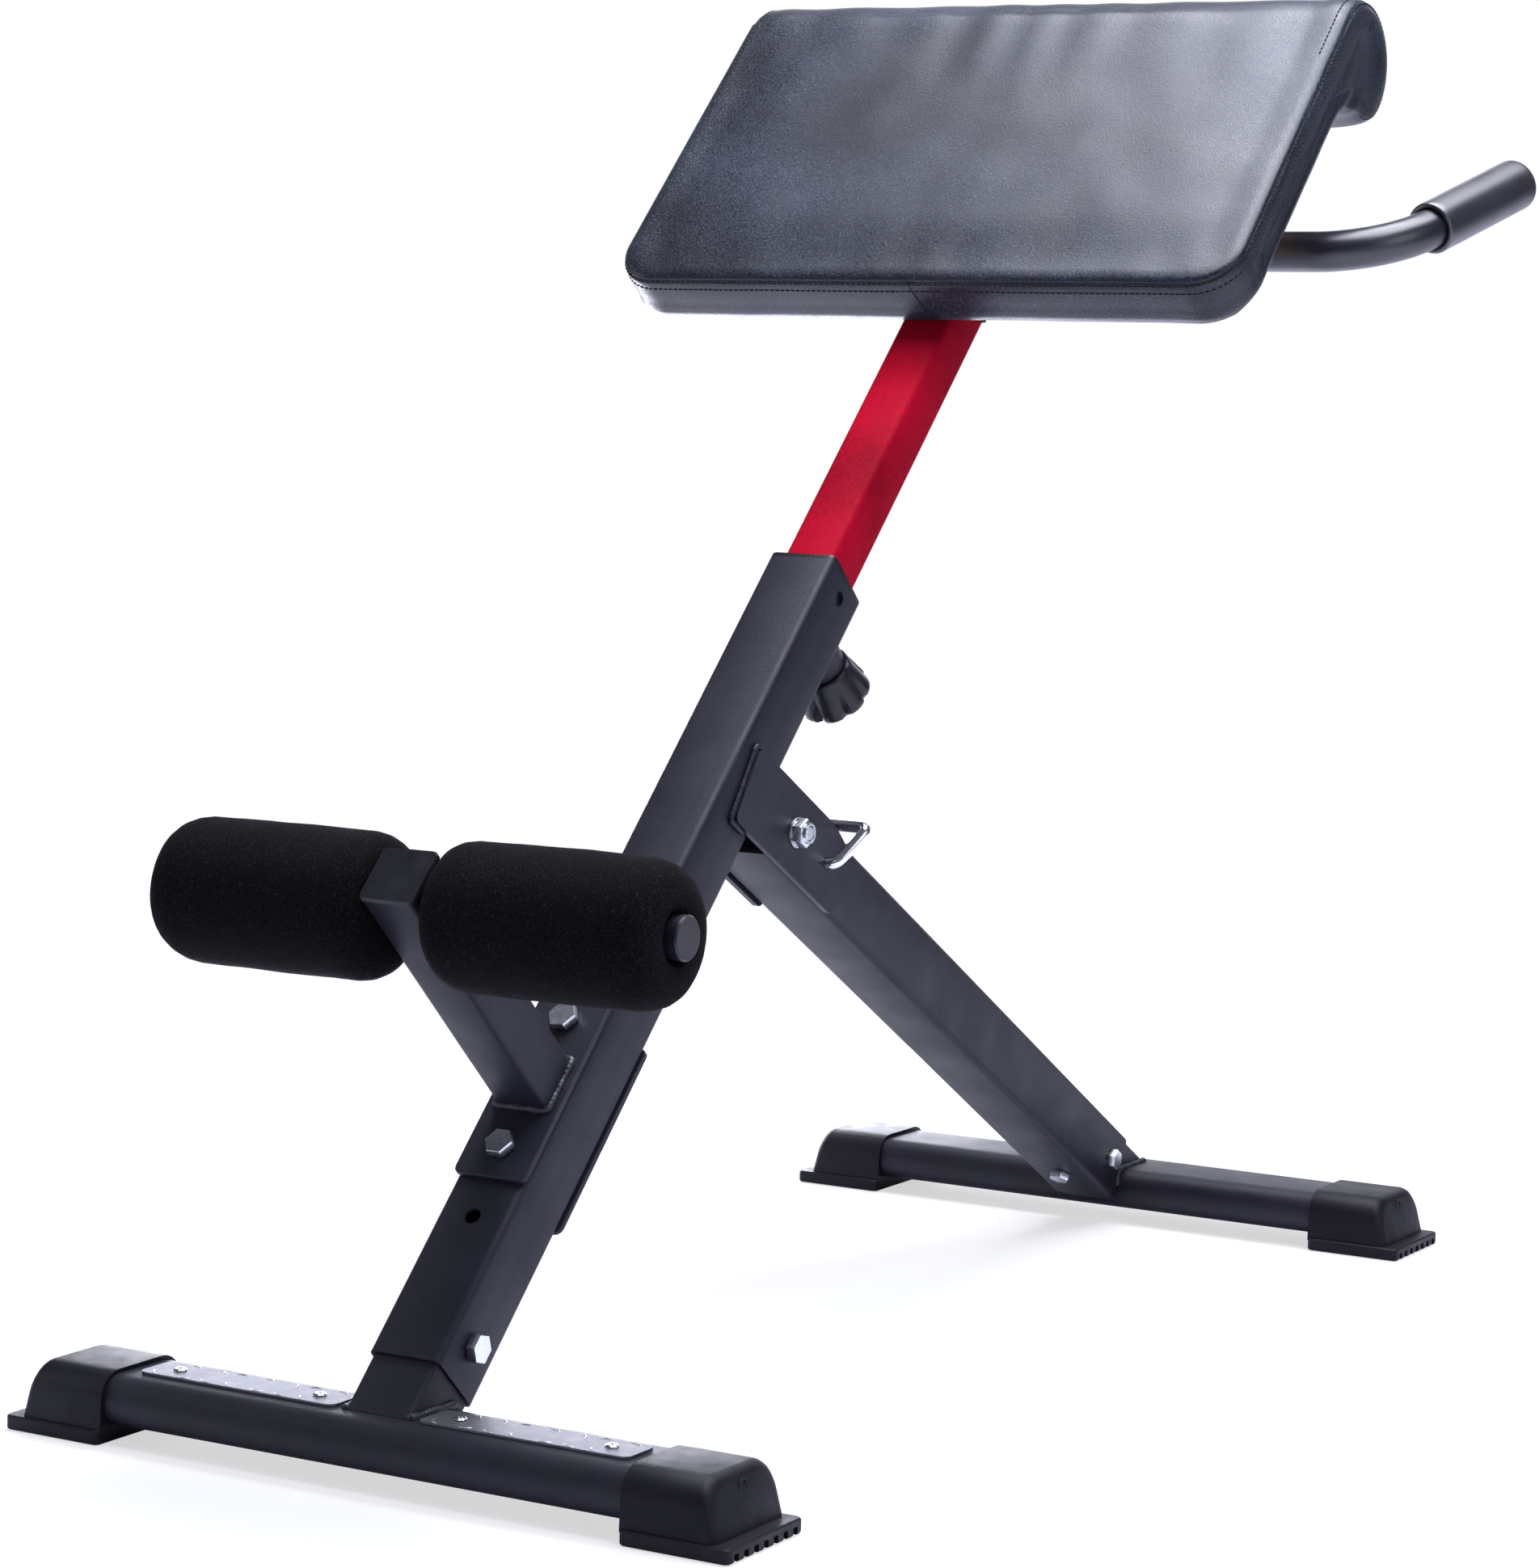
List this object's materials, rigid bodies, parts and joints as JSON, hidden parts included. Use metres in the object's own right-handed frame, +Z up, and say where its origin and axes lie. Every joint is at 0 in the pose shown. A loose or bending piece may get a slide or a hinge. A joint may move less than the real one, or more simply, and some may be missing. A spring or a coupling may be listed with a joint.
{
  "type": "roman chair",
  "caption": "45 degree back trainer: slanted post on floor bars, folding rear strut, sliding post with rolled-top hip pad and side handles, foam ankle rollers.",
  "frame": {"origin": "on the floor, under the middle of the object's bounding box", "axes": "+Z up, +Y from the ankle rollers and step bar towards the rear floor bar, +X towards the side of the pull pin's right hand as seen by a person facing +Y (the right-hand roller)"},
  "size_m": [0.6864, 1.0348, 0.9149],
  "materials": {
    "powder_coat_black": "satin black powder coat",
    "powder_coat_red": "glossy red powder coat",
    "plastic_black": "satin black moulded plastic",
    "foot_pvc": "black moulded PVC",
    "foam_black": "matte closed-cell foam with fine pores",
    "synthetic_leather": "fine-grained charcoal synthetic leather over foam",
    "plywood": "raw plywood board",
    "zinc_plated_steel": "bright zinc plate",
    "chrome": "polished chrome",
    "step_plate_steel": "galvanised tread plate",
    "grip_pvc": "smooth dark grey soft PVC"
  },
  "bodies": {
    "frame": {"arm_end_cap": "plastic_black", "axle_cap_left": "plastic_black", "axle_cap_right": "plastic_black", "backing_plate": "powder_coat_black", "bracket_bolt_1": "zinc_plated_steel", "bracket_bolt_2": "zinc_plated_steel", "bracket_nut_1": "zinc_plated_steel", "bracket_nut_2": "zinc_plated_steel", "foot_front_left": "foot_pvc", "foot_front_right": "foot_pvc", "front_bar": "powder_coat_black", "front_stub": "powder_coat_black", "main_post": "powder_coat_black", "pin_barrel": "powder_coat_black", "pin_spring": "zinc_plated_steel", "pivot_bolt": "zinc_plated_steel", "pivot_nut": "zinc_plated_steel", "pivot_plate_left": "powder_coat_black", "pivot_plate_right": "powder_coat_black", "post_bolt": "zinc_plated_steel", "post_nut": "zinc_plated_steel", "post_sleeve": "plastic_black", "roller_arm": "powder_coat_black", "roller_axle": "powder_coat_black", "roller_bracket": "powder_coat_black", "step_plate_left": "step_plate_steel", "step_plate_right": "step_plate_steel", "step_screw_left_1": "zinc_plated_steel", "step_screw_left_2": "zinc_plated_steel", "step_screw_right_1": "zinc_plated_steel", "step_screw_right_2": "zinc_plated_steel"},
    "pad_post": {"hand_grip_left": "grip_pvc", "hand_grip_right": "grip_pvc", "handlebar": "powder_coat_black", "pad_board": "plywood", "pad_bracket_left": "powder_coat_black", "pad_bracket_right": "powder_coat_black", "pad_cushion": "synthetic_leather", "pad_screw_left_1": "zinc_plated_steel", "pad_screw_left_2": "zinc_plated_steel", "pad_screw_right_1": "zinc_plated_steel", "pad_screw_right_2": "zinc_plated_steel", "upper_post": "powder_coat_red", "upper_post_plug_bottom": "plastic_black", "upper_post_plug_top": "plastic_black"},
    "strut": {"foot_rear_left": "foot_pvc", "foot_rear_right": "foot_pvc", "rear_bar": "powder_coat_black", "rear_strut": "powder_coat_black", "rear_stub": "powder_coat_black", "strut_bolt_side": "zinc_plated_steel", "strut_bolt_under": "zinc_plated_steel", "strut_nut_side": "zinc_plated_steel", "strut_nut_under": "zinc_plated_steel"},
    "lock_pin": {"lock_pin": "chrome"},
    "plunger": {"pin_plunger": "zinc_plated_steel"},
    "knob": {"pull_knob": "plastic_black"},
    "roller_left": {"foam_roller_left": "foam_black"},
    "roller_right": {"foam_roller_right": "foam_black"}
  },
  "joints": [
    {"name": "pad_height", "type": "slide", "parent": "frame", "child": "pad_post", "axis": [0, 0.699, 0.7151], "range_m": [-0.12, 0.12]},
    {"name": "strut_fold", "type": "hinge", "parent": "frame", "child": "strut", "pos_m": [0, -0.07035, 0.346], "axis": [-1, 0, 0], "range_deg": [0, 95]},
    {"name": "lock_pin_pull", "type": "slide", "parent": "frame", "child": "lock_pin", "axis": [1, 0, 0], "range_m": [0, 0.09]},
    {"name": "plunger_pull", "type": "slide", "parent": "frame", "child": "plunger", "axis": [0, 0.7151, -0.699], "range_m": [0, 0.01], "stiffness_N_per_m": 600, "springref_m": -0.01, "deforming": ["pin_spring"]},
    {"name": "knob_turn", "type": "hinge", "parent": "plunger", "child": "knob", "pos_m": [0, -0.0082, 0.4645], "axis": [0, 0.7151, -0.699], "continuous": true},
    {"name": "roller_left_spin", "type": "hinge", "parent": "frame", "child": "roller_left", "pos_m": [-0.1, -0.4497, 0.3304], "axis": [1, 0, 0], "continuous": true},
    {"name": "roller_right_spin", "type": "hinge", "parent": "frame", "child": "roller_right", "pos_m": [0.1, -0.4497, 0.3304], "axis": [1, 0, 0], "continuous": true}
  ]
}
